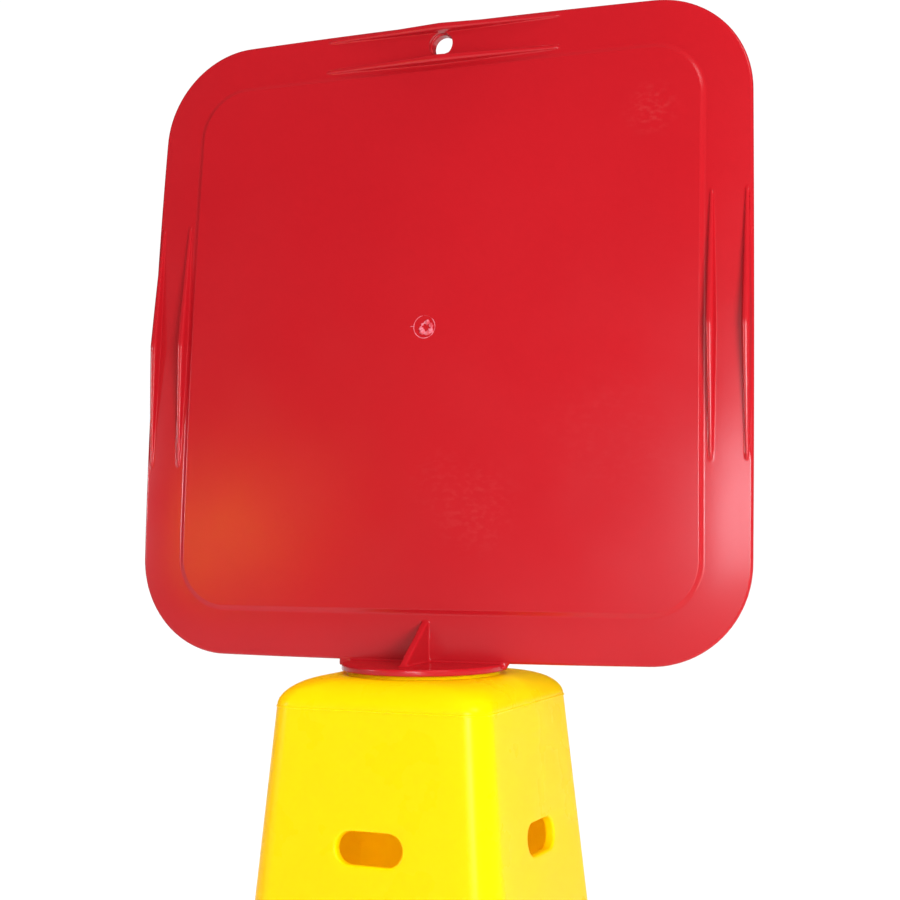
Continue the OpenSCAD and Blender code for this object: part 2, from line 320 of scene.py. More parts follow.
class Paint:
    """A material on one Principled shader, with short calls for the nodes that vary it."""

    def __init__(self, name, base, roughness, **fixed):
        self.material = bpy.data.materials.new(name)
        self.material.use_nodes = True
        self.tree = self.material.node_tree
        self.shader = self.tree.nodes["Principled BSDF"]
        self.shader.inputs["Base Color"].default_value = (*base, 1)
        self.shader.inputs["Roughness"].default_value = roughness
        for socket, value in fixed.items():
            self.shader.inputs[socket.replace("_", " ")].default_value = value
        self.place = self.tree.nodes.new("ShaderNodeTexCoord").outputs["Object"]

    def node(self, kind, **settings):
        """Adds a node with its settings."""
        made = self.tree.nodes.new(kind)
        for key, value in settings.items():
            setattr(made, key, value)
        return made

    def plug(self, socket, value):
        """Links an output to a socket, or sets the socket to a number, vector or colour."""
        if isinstance(value, bpy.types.NodeSocket):
            self.tree.links.new(value, socket)
        elif isinstance(value, (tuple, Vector)) and socket.type == "RGBA":
            socket.default_value = (*value[:3], 1)
        else:
            socket.default_value = value

    def noise(self, scale, detail=2.0, stretch=None):
        """Noise with scale in cycles per metre."""
        made = self.node("ShaderNodeTexNoise")
        made.inputs["Scale"].default_value = scale
        made.inputs["Detail"].default_value = detail
        place = self.place
        if stretch:
            mapping = self.node("ShaderNodeMapping")
            mapping.inputs["Scale"].default_value = stretch
            self.plug(mapping.inputs["Vector"], place)
            place = mapping.outputs["Vector"]
        self.plug(made.inputs["Vector"], place)
        return made.outputs["Fac"]

    def cells(self, scale, feature="F1"):
        """Distances in a pattern of cells, with scale in cells per metre."""
        made = self.node("ShaderNodeTexVoronoi", feature=feature)
        made.inputs["Scale"].default_value = scale
        self.plug(made.inputs["Vector"], self.place)
        return made.outputs["Distance"]

    def span(self, value, low, high, to_low=0.0, to_high=1.0):
        """Maps low..high onto to_low..to_high, clamped."""
        made = self.node("ShaderNodeMapRange", interpolation_type="SMOOTHSTEP")
        for socket, number in zip(made.inputs[:5], (value, low, high, to_low, to_high)):
            self.plug(socket, number)
        return made.outputs["Result"]

    def maths(self, operation, a, b):
        made = self.node("ShaderNodeMath", operation=operation)
        self.plug(made.inputs[0], a)
        self.plug(made.inputs[1], b)
        return made.outputs["Value"]

    def near(self, point, radius):
        """1 at a point of the object and 0 beyond the radius, both in metres."""
        made = self.node("ShaderNodeVectorMath", operation="DISTANCE")
        self.plug(made.inputs[0], self.place)
        made.inputs[1].default_value = point
        return self.span(made.outputs["Value"], 0.25 * radius, radius, 1.0, 0.0)

    def mix(self, factor, a, b):
        made = self.node("ShaderNodeMix", data_type="RGBA")
        self.plug(made.inputs["Factor"], factor)
        self.plug(made.inputs[6], a)
        self.plug(made.inputs[7], b)
        return made.outputs[2]

    def see_through(self, colour, share):
        """Lets a share of the light pass, diffused and coloured."""
        veil = self.node("ShaderNodeBsdfTranslucent")
        veil.inputs["Color"].default_value = (*colour, 1)
        blend = self.node("ShaderNodeMixShader")
        blend.inputs["Fac"].default_value = share
        self.plug(blend.inputs[1], self.shader.outputs[0])
        self.plug(blend.inputs[2], veil.outputs[0])
        self.plug(self.tree.nodes["Material Output"].inputs["Surface"], blend.outputs[0])

    def clear_from_below(self):
        """Shows what stands on a floor to a camera under it."""
        clear = self.node("ShaderNodeBsdfTransparent")
        blend = self.node("ShaderNodeMixShader")
        self.plug(blend.inputs[0], self.node("ShaderNodeNewGeometry").outputs["Backfacing"])
        self.plug(blend.inputs[1], self.shader.outputs[0])
        self.plug(blend.inputs[2], clear.outputs[0])
        self.plug(self.tree.nodes["Material Output"].inputs["Surface"], blend.outputs[0])

    def colour(self, value):
        self.plug(self.shader.inputs["Base Color"], value)

    def rough(self, value):
        self.plug(self.shader.inputs["Roughness"], value)

    def bump(self, height, distance, strength=1.0):
        """Bump with its distance in metres, on top of any bump already there."""
        made = self.node("ShaderNodeBump")
        made.inputs["Strength"].default_value = strength
        made.inputs["Distance"].default_value = distance
        self.plug(made.inputs["Height"], height)
        earlier = self.shader.inputs["Normal"].links
        if earlier:
            self.plug(made.inputs["Normal"], earlier[0].from_socket)
        self.plug(self.shader.inputs["Normal"], made.outputs["Normal"])


# Rubbed places on the panel: x, y, radius and strength
RUBBED_PATCHES = [
    (24, -82, 30, 0.13),
    (8, -70, 24, 0.1),
    (106, 100, 17, 0.2),
    (90, -50, 44, 0.06),
    (-2, 3.2, 6, 1.0),
]


def red_plastic():
    """Satin red polypropylene, a little uneven, with rubbed patches on the back."""
    base, deep, rubbed = (0.35, 0.0062, 0.0105), (0.3, 0.005, 0.009), (0.42, 0.05, 0.05)
    paint = Paint("red_plastic", base, 0.22, Specular_IOR_Level=0.28)
    flow = paint.span(paint.noise(7, 3), 0.35, 0.7)
    cloth = paint.span(paint.noise(160, 4), 0.4, 0.75)
    colour = paint.mix(paint.maths("MULTIPLY", flow, 0.35), base, deep)
    colour = paint.mix(paint.maths("MULTIPLY", cloth, 0.1), colour, deep)
    flecks = paint.span(paint.noise(420, 8, (0.6, 1.0, 1.0)), 0.44, 0.7)
    worn = 0.0
    for x, y, radius, strength in RUBBED_PATCHES:
        point = (PANEL @ Vector((x, y, PANEL_T))) * MM
        patch = paint.maths("MULTIPLY", paint.near(point, radius * MM), strength)
        worn = paint.maths("MAXIMUM", patch, worn)
    worn = paint.maths("MULTIPLY", worn, flecks)
    paint.colour(paint.mix(worn, colour, rubbed))
    paint.rough(paint.span(paint.noise(24, 4), 0.2, 0.8, 0.2, 0.25))
    paint.bump(paint.noise(900, 3), 0.00002, 0.35)
    return paint.material


def whitened_plastic():
    """Red plastic that was whitened where the gate was cut off."""
    paint = Paint("whitened_plastic", (0.6, 0.15, 0.2), 0.4)
    spots = paint.span(paint.noise(520, 4), 0.38, 0.62)
    core = paint.near(PANEL @ Vector((*GATE_INNER, PANEL_T)) * MM, 6 * MM)
    pale = paint.mix(core, (0.55, 0.13, 0.17), (0.85, 0.52, 0.58))
    paint.colour(paint.mix(spots, (0.42, 0.03, 0.045), pale))
    paint.bump(paint.noise(1500, 2), 0.0001, 0.6)
    return paint.material


def yellow_plastic():
    """Bright yellow polyethylene that lets some light through."""
    base, pale = (1.0, 0.7, 0.0), (1.0, 0.74, 0.002)
    paint = Paint(
        "yellow_plastic", base, 0.3, Specular_IOR_Level=0.2,
        Subsurface_Weight=0.35, Subsurface_Radius=(1.0, 0.62, 0.06), Subsurface_Scale=0.006,
    )
    paint.see_through((1.0, 0.74, 0.03), 0.42)
    flow = paint.span(paint.noise(9, 3), 0.35, 0.7)
    colour = paint.mix(paint.maths("MULTIPLY", flow, 0.5), base, pale)
    split = paint.node("ShaderNodeSeparateXYZ")
    paint.plug(split.inputs[0], paint.place)
    low_down = paint.span(split.outputs["Z"], 0.02, 0.16, 1.0, 0.0)
    dirt = paint.maths("MULTIPLY", low_down, paint.span(paint.noise(30, 5), 0.45, 0.75))
    paint.colour(paint.mix(paint.maths("MULTIPLY", dirt, 0.35), colour, (0.45, 0.33, 0.06)))
    paint.rough(paint.span(paint.noise(40, 4), 0.2, 0.8, 0.24, 0.34))
    paint.bump(paint.noise(700, 3), 0.00003, 0.4)
    paint.bump(paint.noise(26, 2), 0.0004, 0.25)
    return paint.material


def reflective_sheet():
    """White retroreflective sheet, with the fine cells that such a sheet has."""
    white, seam = (0.86, 0.87, 0.86), (0.62, 0.64, 0.65)
    paint = Paint("reflective_sheet", white, 0.22, Coat_Weight=0.4, Coat_Roughness=0.08)
    edge = paint.span(paint.cells(240, "DISTANCE_TO_EDGE"), 0.02, 0.1, 1.0, 0.0)
    paint.colour(paint.mix(edge, white, seam))
    paint.rough(paint.span(paint.noise(60, 4), 0.2, 0.8, 0.18, 0.3))
    paint.bump(edge, 0.00005, 0.5)
    return paint.material


def dark_plastic():
    """Matte black-grey nylon."""
    base = (0.018, 0.018, 0.02)
    paint = Paint("dark_plastic", base, 0.5)
    paint.colour(paint.mix(paint.span(paint.noise(120, 4), 0.3, 0.8), base, (0.03, 0.03, 0.033)))
    paint.rough(paint.span(paint.noise(200, 3), 0.2, 0.8, 0.42, 0.58))
    paint.bump(paint.noise(2200, 2), 0.00005, 0.5)
    return paint.material


def rubber(name, base, grain, roughness):
    """Recycled rubber with pressed grains of a slightly different black."""
    paint = Paint(name, base, roughness)
    grains = paint.span(paint.cells(grain), 0.15, 0.6)
    pale = tuple(2.2 * c for c in base)
    dusty = paint.span(paint.noise(18, 4), 0.45, 0.8)
    colour = paint.mix(grains, pale, base)
    paint.colour(paint.mix(paint.maths("MULTIPLY", dusty, 0.25), colour, (0.09, 0.085, 0.08)))
    paint.rough(paint.span(paint.noise(90, 3), 0.2, 0.8, roughness - 0.08, roughness + 0.08))
    paint.bump(grains, 0.0004, 0.5)
    paint.bump(paint.noise(grain * 3, 3), 0.0002, 0.4)
    return paint.material


# ---------------------------------------------------------------- mesh tools


def new_piece(name, points, faces, matrix=None):
    """An object from points in millimetres, with its faces turned outwards."""
    mesh = bpy.data.meshes.new(name)
    mesh.from_pydata([tuple(p) for p in points], [], faces)
    scale = Matrix.Scale(MM, 4)
    mesh.transform(scale @ matrix if matrix else scale)
    bm = bmesh.new()
    bm.from_mesh(mesh)
    bmesh.ops.recalc_face_normals(bm, faces=bm.faces)
    bm.to_mesh(mesh)
    bm.free()
    piece = bpy.data.objects.new(name, mesh)
    bpy.context.scene.collection.objects.link(piece)
    return piece


def skin(rings, closed=False):
    """Faces between rings of equal count. An open run of rings is closed by a fan at each end."""
    count = len(rings[0])
    points = [p for ring in rings for p in ring]
    faces = []
    last = len(rings) if closed else len(rings) - 1
    for r in range(last):
        a, b = r * count, ((r + 1) % len(rings)) * count
        for i in range(count):
            j = (i + 1) % count
            faces.append((a + i, a + j, b + j, b + i))
    if not closed:
        for start in (0, (len(rings) - 1) * count):
            ring = points[start:start + count]
            points.append(sum((Vector(p) for p in ring), Vector()) / count)
            faces += [(start + i, start + (i + 1) % count, len(points) - 1) for i in range(count)]
    return points, faces


def settle(piece):
    """Applies the piece's modifiers to its mesh."""
    done = bpy.data.meshes.new_from_object(piece.evaluated_get(bpy.context.evaluated_depsgraph_get()))
    piece.modifiers.clear()
    piece.data = done


def combine(piece, tool, operation):
    """Joins or cuts the piece with the tool, which is used up."""
    change = piece.modifiers.new("combine", "BOOLEAN")
    change.operation = operation
    change.solver = "MANIFOLD"
    change.object = tool
    settle(piece)
    bpy.data.objects.remove(tool)


def finish_piece(piece, material, body, slot, *nodes, sharp=38):
    """Shades and colours a piece, sets it under its body and hides the CAD parts that it stands for."""
    piece.data.materials.clear()
    piece.data.materials.append(material)
    piece.data.shade_smooth()
    piece.data.set_sharp_from_angle(angle=math.radians(sharp))
    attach(piece, body)
    if nodes:
        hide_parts(*nodes)


def outline(half, radius, side_steps, corner_steps):
    """Points round a rounded square as (x, y, place along the side, side), anticlockwise."""
    straight = half - radius
    points = []
    for side in range(4):
        c, s = ((1, 0), (0, 1), (-1, 0), (0, -1))[side]
        run = [(half, straight * (2 * i / side_steps - 1)) for i in range(side_steps)]
        for i in range(corner_steps):
            a = math.radians(90) * i / corner_steps
            run.append((straight + radius * math.cos(a), straight + radius * math.sin(a)))
        for i, (x, y) in enumerate(run):
            along = y if i < side_steps else straight
            points.append((c * x - s * y, s * x + c * y, along, side))
    return points


def lathe(profile, steps):
    """Rings round Z from (radius, z) points."""
    turn = [2 * math.pi * i / steps for i in range(steps)]
    return [[(r * math.cos(a), r * math.sin(a), z) for a in turn] for r, z in profile]


def arc(cx, cy, radius, start, end, steps):
    """Points of an arc, with angles in degrees."""
    out = []
    for i in range(steps + 1):
        a = math.radians(start + (end - start) * i / steps)
        out.append((cx + radius * math.cos(a), cy + radius * math.sin(a)))
    return out


# ---------------------------------------------------------------- sign panel


def crown(x, y):
    """How far the moulded panel bulges to its back."""
    u, v = x / PANEL_HALF, y / PANEL_HALF
    return CROWN_X * (1 - u * u) + CROWN_Y * (1 - v * v) + TWIST * u * v


def rib_scale(along):
    """How wide a rib is at a place along it, as a share of its width at the middle."""
    t = min(1.0, abs(along) / RIB_HALF)
    return 1 + (RIB_END_R / RIB_R - 1) * t


def rib_height(across, along):
    """Height of a rib with a round crest, steep sides and a fillet at its foot."""
    t = abs(along) / RIB_HALF
    if t > 1:
        return 0.0
    radius = RIB_R + (RIB_END_R - RIB_R) * t
    crest = RIB_H + (RIB_END_H - RIB_H) * t
    off = abs(across)
    if off <= radius:
        rounded = (1 - (off / radius) ** RIB_CREST) ** (1 / RIB_CREST)
        return max(0.0, crest - radius + radius * rounded)
    beyond = (off - radius) / RIB_FOOT
    wall = max(0.0, crest - radius) * max(0.0, 1 - beyond / RIB_WALL)
    fillet = RIB_FILLET * min(1.0, crest) * max(0.0, 1 - beyond) ** 2
    return max(wall, fillet)


def bent_inset(inset, along):
    """Moves a mesh line so that it follows the nearest rib's tapering sides."""
    for centre in RIB_INSETS:
        across = inset - centre
        band = min(RIB_BAND, centre) if across < 0 else RIB_BAND
        if abs(across) >= band:
            continue
        scale = rib_scale(along)
        if abs(across) <= RIB_R:
            return centre + across * scale
        rest = (abs(across) - RIB_R) * (band - RIB_R * scale) / (band - RIB_R)
        return centre + math.copysign(RIB_R * scale + rest, across)
    return inset


def rounding(inset):
    """How far the rim's round edge drops at an inset."""
    if inset >= RIM_R:
        return 0.0
    return RIM_R - math.sqrt(max(0.0, RIM_R ** 2 - (RIM_R - inset) ** 2))


def back_height(x, y, inset):
    """Height of the back's surface without its ribs. The powers round the step's foot and top."""
    dish = BORDER_DISH * max(0.0, 1 - inset / FIELD_INSET) ** 2
    climb = min(1.0, max(0.0, (inset - FIELD_INSET) / FIELD_RAMP + 0.5))
    step = FIELD_STEP * (1 - (1 - climb ** 1.6) ** 1.15)
    return PANEL_T / 2 + crown(x, y) + step - dish - rounding(inset)


def front_height(x, y, inset):
    """Height of the front's surface with its recess."""
    step = RECESS_DEPTH * smooth(inset, RECESS_INSET - RECESS_RAMP / 2, RECESS_INSET + RECESS_RAMP / 2)
    return -PANEL_T / 2 + crown(x, y) + step + rounding(inset)


def panel_rings(insets, height, ribs):
    """Rings from the rim to near the centre: first at insets, then shrinking to the middle."""
    rings = []
    for inset in insets:
        ring = []
        for x0, y0, along, side in outline(PANEL_HALF, PANEL_R, SIDE_STEPS, CORNER_STEPS):
            here = bent_inset(inset, along) if ribs else inset
            x, y = inward(x0, y0, here, along, side)
            z = height(x, y, here)
            if ribs and side < 3:
                z += sum(rib_height(here - c, along) for c in RIB_INSETS)
            ring.append((x, y, z))
        rings.append(ring)
    edge = rings[-1]
    for k in range(1, CORE_STEPS):
        share = 1 - k / CORE_STEPS
        shrunk = [(x * share, y * share) for x, y, _ in edge]
        rings.append([(x, y, height(x, y, PANEL_HALF)) for x, y in shrunk])
    return rings


def inward(x, y, inset, along, side):
    """Moves a point of the rim inwards, square to the rim, and lets the long edges bow."""
    core = PANEL_HALF - PANEL_R
    cx = max(-core, min(core, x))
    cy = max(-core, min(core, y))
    if side in (0, 2) and abs(along) < core:
        cy = y
    out = Vector((x - cx, y - cy))
    out.normalize()
    bow = EDGE_BOW * (1 - (along / core) ** 2) * max(0.0, 1 - inset / BOW_REACH)
    return x + out.x * (bow - inset), y + out.y * (bow - inset)


def panel_plate():
    """The whole plate as one closed skin, with mesh lines close together where it curves."""
    rib_lines = [0, 0.4, 0.8, 1.2, 1.5, 1.7, 1.8, 1.9, 2.0, 2.12, 2.25, 2.42, 2.7, 3.0, RIB_BAND]
    back = {0.0, 0.05, 0.15, 0.35, 0.6}
    for centre in RIB_INSETS:
        back |= {round(centre + s * c, 3) for c in rib_lines for s in (-1, 1)}
    back |= {7.0, 8.5, 10.0, 12.0, 13.5}
    back |= {FIELD_INSET + FIELD_RAMP * i / 10 for i in range(-6, 7)}
    back |= {23.8, 24.6, 26.0, 28.5, 32.0, 36.0, 40.0}
    back = sorted(inset for inset in back if inset >= 0)
    front = [0.0, 0.05, 0.15, 0.35, 0.6, 0.85, 1.1, 2, 4, 7, 11, 15, 19, 22, 24]
    front += [RECESS_INSET + RECESS_RAMP * i / 6 for i in range(-4, 5)] + [27, 29, 32, 36, 40]
    rings = panel_rings(front, front_height, False)[::-1]
    rings += panel_rings(back, back_height, True)
    return new_piece("sign_moulding", *skin(rings), PANEL)


def hole_boss():
    """Thickening round the hanging hole, on the front."""
    top, bottom, soft = 0.4, PANEL_T / 2 - HOLE_BOSS_T, 0.6
    profile = [(HOLE_BOSS_R, top)] + arc(HOLE_BOSS_R - soft, bottom + soft, soft, 0, -90, 5)
    return new_piece("hole_boss", *skin(lathe(profile, 72)), HOLE_PLACE)


def hole_cutter():
    """A bore with a rounded mouth at each end."""
    top, bottom = PANEL_T / 2 - 0.35, PANEL_T / 2 - HOLE_BOSS_T
    soft, front_soft, over = 0.7, 0.4, 3
    profile = [(HOLE_R + soft, top + over)]
    profile += arc(HOLE_R + soft, top - soft, soft, 90, 180, 5)
    profile += arc(HOLE_R + front_soft, bottom + front_soft, front_soft, 180, 270, 4)
    profile.append((HOLE_R + front_soft, bottom - over))
    return new_piece("hole_cutter", *skin(lathe(profile, 72)), HOLE_PLACE)


def prism(name, corners, thickness, place):
    """A flat outline extruded both ways along its own Z."""
    half = thickness / 2
    rings = [[(x, y, -half) for x, y in corners], [(x, y, half) for x, y in corners]]
    return new_piece(name, *skin(rings), place)


def gusset(side):
    """Triangular web between flange and panel, on the back (-1) or the front (1)."""
    foot, reach = PANEL_FOOT_Y, side * GUSSET_REACH
    low, high = CONE_TOP + FLANGE_T / 2, CONE_TOP + GUSSET_H
    toe = CONE_TOP + FLANGE_T + 0.3
    corners = [(foot, low), (reach, low), (reach, toe), (foot + side * GUSSET_TOP, high), (foot, high)]
    return prism("gusset", corners, GUSSET_T, SIGN_TURN @ (turned(90, "Z") @ turned(90, "X")))


def panel_patch():
    """The strip of the panel that the neck and gussets grow from, a hair inside its skin."""
    sunk, reach, low, high, steps = 0.2, 56.0, PANEL_FOOT + 1.6, PANEL_FOOT + 20.5, 24
    xs = [reach * (2 * k / steps - 1) for k in range(steps + 1)]
    rings = []
    for i in range(steps + 1):
        y = low + (high - low) * i / steps
        inset = y - PANEL_FOOT
        ring = [(x, y, back_height(x, y, inset) - sunk) for x in xs]
        ring += [(x, y, front_height(x, y, inset) + sunk) for x in reversed(xs)]
        rings.append(ring)
    return new_piece("patch", *skin(rings), PANEL)


def neck():
    """Web between the panel's lower edge and the flange, following the panel's surface."""
    steps, sunk, clear = 24, 0.25, 3.0
    rings = []
    for rise, right in ((-3.4, NECK_FOOT), (-1.5, NECK_FOOT + 0.8), (1.0, NECK_TOP), (8.0, NECK_TOP)):
        y = PANEL_FOOT + rise
        xs = [-NECK_LEFT + (NECK_LEFT + right) * k / steps for k in range(steps + 1)]
        ring = [(x, y, back_height(x, y, clear) - sunk) for x in xs]
        ring += [(x, y, front_height(x, y, clear) + sunk) for x in reversed(xs)]
        rings.append(ring)
    return new_piece("neck", *skin(rings), PANEL)


def flange_profile(over, under, steps):
    """The flange's section from its middle round its rim, with the radii of its two edges."""
    top = CONE_TOP + FLANGE_T
    profile = [(0.6, top)] + arc(FLANGE_R - over, top - over, over, 90, 0, steps)
    return profile + arc(FLANGE_R - under, CONE_TOP + under, under, 0, -90, steps - 1)


def stem_profile():
    """The section of the flange, the stem with its thread's rows of points, and the bore."""
    foot = CONE_TOP - STEM_LEN
    thread_top = CONE_TOP - COLLAR_LEN - LIFT_GAP
    threaded, rows = thread_top - foot - 1, 90
    inner, roof = THREAD_R - STEM_WALL, CONE_TOP - 1
    profile = flange_profile(0.8, 0.5, 5)
    profile += [(STEM_R + 1, CONE_TOP), (STEM_R, CONE_TOP - 1), (STEM_R, thread_top + 1.3)]
    profile += [(THREAD_R, thread_top - threaded * i / rows) for i in range(rows + 1)]
    profile += [(THREAD_R - 1, foot), (inner + 0.5, foot), (inner, foot + 0.5)]
    return profile + [(inner, roof), (0.6, roof)]


def stem():
    """Flange and hollow threaded stem in one lathe form."""
    steps = 96
    rings = []
    for r, z in stem_profile():
        ring = []
        for i in range(steps):
            a = 2 * math.pi * i / steps
            turn = (z / THREAD_PITCH - i / steps) % 1.0
            cut = THREAD_DEPTH * abs(2 * turn - 1) if r == THREAD_R else 0.0
            ring.append(((r - cut) * math.cos(a), (r - cut) * math.sin(a), z))
        rings.append(ring)
    return new_piece("stem", *skin(rings))


def soften(piece, cell, rounds):
    """Remeshes a joined form evenly and smooths it, so that its inner corners fill."""
    change = piece.modifiers.new("remesh", "REMESH")
    change.mode = "VOXEL"
    change.voxel_size = cell * MM
    relax = piece.modifiers.new("relax", "SMOOTH")
    relax.factor = 0.5
    relax.iterations = rounds
    settle(piece)


def root_form():
    """Neck, gussets and flange, grown together with fillets."""
    form = panel_patch()
    disc = new_piece("disc", *skin(lathe(flange_profile(0.6, 0.4, 4) + [(0.6, CONE_TOP)], 128)))
    for tool in (disc, neck(), gusset(-1), gusset(1)):
        combine(form, tool, "UNION")
    soften(form, 0.5, 9)
    return form


def sign_moulding(material):
    """The red moulding: plate, ribs, hole, neck, gussets, flange and stem."""
    plate = panel_plate()
    combine(plate, hole_boss(), "UNION")
    combine(plate, hole_cutter(), "DIFFERENCE")
    combine(plate, root_form(), "UNION")
    combine(plate, stem(), "UNION")
    finish_piece(plate, material, "sign", "red_plastic", "sign_panel")


def ring_tube(centre, radius, thickness, steps=96, around=8, flatness=0.55):
    """A flattened ring on the panel, whose thickness is a function of its angle."""
    rings = []
    for i in range(steps):
        a = 2 * math.pi * i / steps
        size = max(0.02, thickness(a))
        ring = []
        for k in range(around):
            b = 2 * math.pi * k / around
            r = radius + size * math.cos(b)
            x, y = centre[0] + r * math.cos(a), centre[1] + r * math.sin(a)
            ring.append((x, y, back_height(x, y, PANEL_HALF) + flatness * size * math.sin(b)))
        rings.append(ring)
    return skin(rings, closed=True)


def gate_mark(material):
    """The scar of the moulding gate: an open outer ring, a torn inner ring and a nick."""

    def thin(a):
        worn = 0.1 * noise.noise(Vector((3 * math.cos(a), 3 * math.sin(a), 2.0)))
        return 0.2 + worn - 0.4 * smooth(math.cos(a - 1.25), 0.86, 0.94)

    def torn(a):
        rough = noise.noise(Vector((2.6 * math.cos(a), 2.6 * math.sin(a), 5.0)))
        return 0.95 + 0.9 * rough - 0.55 * smooth(math.cos(a - 2.6), 0.75, 1.0)

    x, y = GATE
    outer = new_piece("gate_mark", *ring_tube(GATE, 5.4, thin), PANEL)
    inner = new_piece("inner", *ring_tube(GATE_INNER, 2.6, torn), PANEL)
    beside = Matrix.Translation((x - 6.4, y + 0.4, back_height(x, y, PANEL_HALF)))
    rings = lathe([(0.01, -1.1), (0.14, -0.9), (0.2, 0), (0.14, 0.9), (0.01, 1.1)], 8)
    nick = new_piece("nick", *skin(rings), PANEL @ beside @ turned(90, "Y"))
    for tool in (inner, nick):
        combine(outer, tool, "UNION")
    finish_piece(outer, material, "sign", "red_plastic")


def face_sheet(material):
    """Reflective sheet that lies on the floor of the front recess."""

    def under(x, y, inset):
        return -PANEL_T / 2 + crown(x, y) + RECESS_DEPTH - SHEET_GAP

    def over(x, y, inset):
        return under(x, y, inset) - SHEET_T

    insets = [SHEET_INSET, SHEET_INSET + 0.1, 27.5, 29, 32, 36, 40]
    face = panel_rings(insets, over, False)
    seat = panel_rings(insets, under, False)
    edge = [[(x, y, z + 0.1) for x, y, z in face[0]]]
    piece = new_piece("face_sheet", *skin(face[:0:-1] + edge + seat), PANEL)
    finish_piece(piece, material, "sign", "reflective_sheet", "sign_face_sheet")


# ---------------------------------------------------------------- cone


CONE_ANGLES = [math.atan2(y, x) for x, y, _, _ in outline(SHOULDER_HALF, CORNER_R, 28, 16)]


def square_ring(half, radius, z, proud=None):
    """A rounded square at height z, with its points at fixed angles. A radius of half is a circle."""
    ring = []
    for a in CONE_ANGLES:
        c, s = abs(math.cos(a)), abs(math.sin(a))
        c, s = max(c, s), min(c, s)
        core = half - radius
        reach = half / c
        if half * s / c > core:
            reach = core * (c + s) + math.sqrt(max(0.0, radius ** 2 - (core * (c - s)) ** 2))
        if proud:
            reach += proud(a)
        ring.append((reach * math.cos(a), reach * math.sin(a), z))
    return ring


def side_half(z):
    """Half the width of the cone's body at a height."""
    return SHOULDER_HALF + SIDE_SLOPE * (LINE_Z - z)


def side_corner(z):
    """Radius of the body's corners at a height."""
    return CORNER_R + CORNER_GROWTH * (LINE_Z - z)


def base_ring(half, z):
    """A ring of the square base, whose corners keep their centres."""
    return square_ring(half, BASE_R - BASE_HALF + half, z)


def dome(angle, sunk):
    """Half-width, corner radius and height of the shoulder at an angle in degrees."""
    a = math.radians(angle)
    half = SHOULDER_HALF - SHOULDER_RUN * (1 - math.cos(a)) - sunk
    rise = CONE_TOP - SEAT_RISE - LINE_Z - sunk
    corner = CORNER_R + SHOULDER_ROUND * (1 - math.cos(a)) - sunk / 2
    return half, corner, LINE_Z + rise * math.sin(a)


def moulding_line(share):
    """The thin uneven line of flash that the mould leaves round the shoulder."""

    def proud(a):
        uneven = noise.noise(Vector((6 * math.cos(a), 6 * math.sin(a), 1.7)))
        return BEAD * share * (0.75 + 0.6 * uneven)

    return proud


def cone_outside():
    """Rings from the skirt's foot up the outside to the seat on top."""
    foot_soft, rim_soft, fillet, rows = 1.2, 4, 1.6, 40
    base = arc(BASE_HALF - foot_soft, FOOT_LIFT + foot_soft, foot_soft, -90, 0, 4)
    base += arc(BASE_HALF - rim_soft, BASE_H - rim_soft, rim_soft, 0, 90, 8)
    rings = [base_ring(half, z) for half, z in base]
    for half, z in arc(side_half(BASE_H) + fillet, BASE_H + fillet, fillet, 270, 185, 5):
        rings.append(square_ring(half, side_corner(z) + half - side_half(z), z))
    body = [20 + (LINE_Z - 24) * i / rows for i in range(rows + 1)]
    rings += [square_ring(side_half(z), side_corner(z), z) for z in body]
    for drop, share in ((-1.0, 0), (-0.5, 0), (-0.38, 0.6), (-0.2, 1), (0.2, 1), (0.38, 0.6), (0.5, 0)):
        z = LINE_Z + drop
        rings.append(square_ring(side_half(z), CORNER_R, z, moulding_line(share)))
    rings += [square_ring(*dome(angle, 0)) for angle in [*range(4, 88, 4), 90]]
    soft = 0.5
    seat = [(SEAT_R + 0.6, dome(90, 0)[2] + 0.1)]
    seat += arc(SEAT_R - soft, CONE_TOP - LIFT_GAP - soft, soft, 0, 90, 3)
    return rings + [square_ring(r, r, z) for r, z in seat]


def cone_inside():
    """Rings from the seat down the bore, round the collar and down the inside to the skirt's foot."""
    seat = CONE_TOP - LIFT_GAP
    end, soft = CONE_TOP - COLLAR_LEN, 0.5
    under = dome(90, CONE_WALL)[2]
    profile = [(BORE_R + soft, seat), (BORE_R, seat - soft), (BORE_R, end + soft), (BORE_R + soft, end)]
    profile += [(COLLAR_R - soft, end), (COLLAR_R, end + soft)]
    profile += [(COLLAR_R, under - 1.5), (COLLAR_R + 1.5, under)]
    rings = [square_ring(r, r, z) for r, z in profile]
    rings += [square_ring(*dome(angle, CONE_WALL)) for angle in range(90, 0, -12)]
    rows = 30
    body = [LINE_Z - (LINE_Z - BASE_H) * i / rows for i in range(rows + 1)]
    rings += [square_ring(side_half(z) - CONE_WALL, side_corner(z) - CONE_WALL / 2, z) for z in body]
    under_ledge = BASE_H - LEDGE_T
    foot = side_half(BASE_H) - CONE_WALL
    rings.append(square_ring(foot + 0.5, side_corner(BASE_H) - CONE_WALL / 2, under_ledge))
    inner = BASE_HALF - SKIRT_WALL
    skirt = [(inner - 1, under_ledge), (inner, under_ledge - 1)]
    skirt += [(inner, FOOT_LIFT + 0.8), (inner + 0.8, FOOT_LIFT)]
    return rings + [base_ring(half, z) for half, z in skirt]


def stadium(length, height, steps=14):
    """A slot's outline with round ends."""
    r = height / 2
    right = arc(length / 2 - r, 0, r, -90, 90, steps)
    left = arc(-length / 2 + r, 0, r, 90, 270, steps)
    return right + left


def slot_place(quarter):
    """The middle of a tape slot: x along the slot, z straight out of the side."""
    lean = Matrix.Rotation(math.radians(90) - math.atan(SIDE_SLOPE), 4, "X")
    return turned(90 * quarter, "Z") @ Matrix.Translation((0, -side_half(SLOT_Z), SLOT_Z)) @ lean


